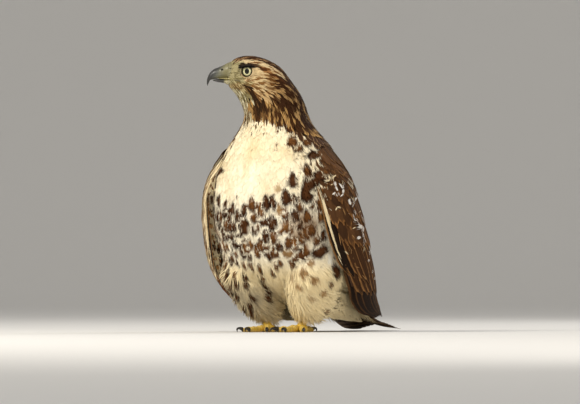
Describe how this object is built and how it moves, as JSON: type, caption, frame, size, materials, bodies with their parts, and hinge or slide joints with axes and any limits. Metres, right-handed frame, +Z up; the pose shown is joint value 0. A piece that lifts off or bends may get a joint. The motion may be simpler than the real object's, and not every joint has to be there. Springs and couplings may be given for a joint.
{
  "type": "red tailed hawk",
  "caption": "Still life-size model of a young red-tailed hawk standing with folded wings, its head turned to its right, streaked brown and cream plumage",
  "frame": {"origin": "on the floor under the middle of the model's bounding box", "axes": "+Z up, the breast faces -Y, the bird's left side is +X, the tail points along +Y"},
  "size_m": [0.23, 0.371, 0.3581],
  "materials": {
    "plumage_cream": "soft cream feathers with brown spots",
    "plumage_brown": "soft brown feathers with buff edges",
    "plumage_wing": "dark brown flight feathers",
    "plumage_tail": "brown feathers with dark bars",
    "bill": "smooth dark horn",
    "cere": "waxy greenish yellow skin",
    "eye": "wet pale yellow iris with a black pupil",
    "leg": "scaled yellow skin",
    "claw": "black horn"
  },
  "bodies": {
    "root": {"head": "plumage_brown", "neck": "plumage_brown", "torso": "plumage_cream", "cere": "cere", "bill_upper": "bill", "bill_lower": "bill", "eye_left": "eye", "eye_right": "eye", "tail": "plumage_tail", "wing_left": "plumage_wing", "thigh_left": "plumage_cream", "shank_left": "leg", "ball_left": "leg", "toe_inner_left": "leg", "claw_inner_left": "claw", "toe_middle_left": "leg", "claw_middle_left": "claw", "toe_outer_left": "leg", "claw_outer_left": "claw", "toe_hind_left": "leg", "claw_hind_left": "claw", "wing_right": "plumage_wing", "thigh_right": "plumage_cream", "shank_right": "leg", "ball_right": "leg", "toe_inner_right": "leg", "claw_inner_right": "claw", "toe_middle_right": "leg", "claw_middle_right": "claw", "toe_outer_right": "leg", "claw_outer_right": "claw", "toe_hind_right": "leg", "claw_hind_right": "claw"}
  },
  "joints": []
}
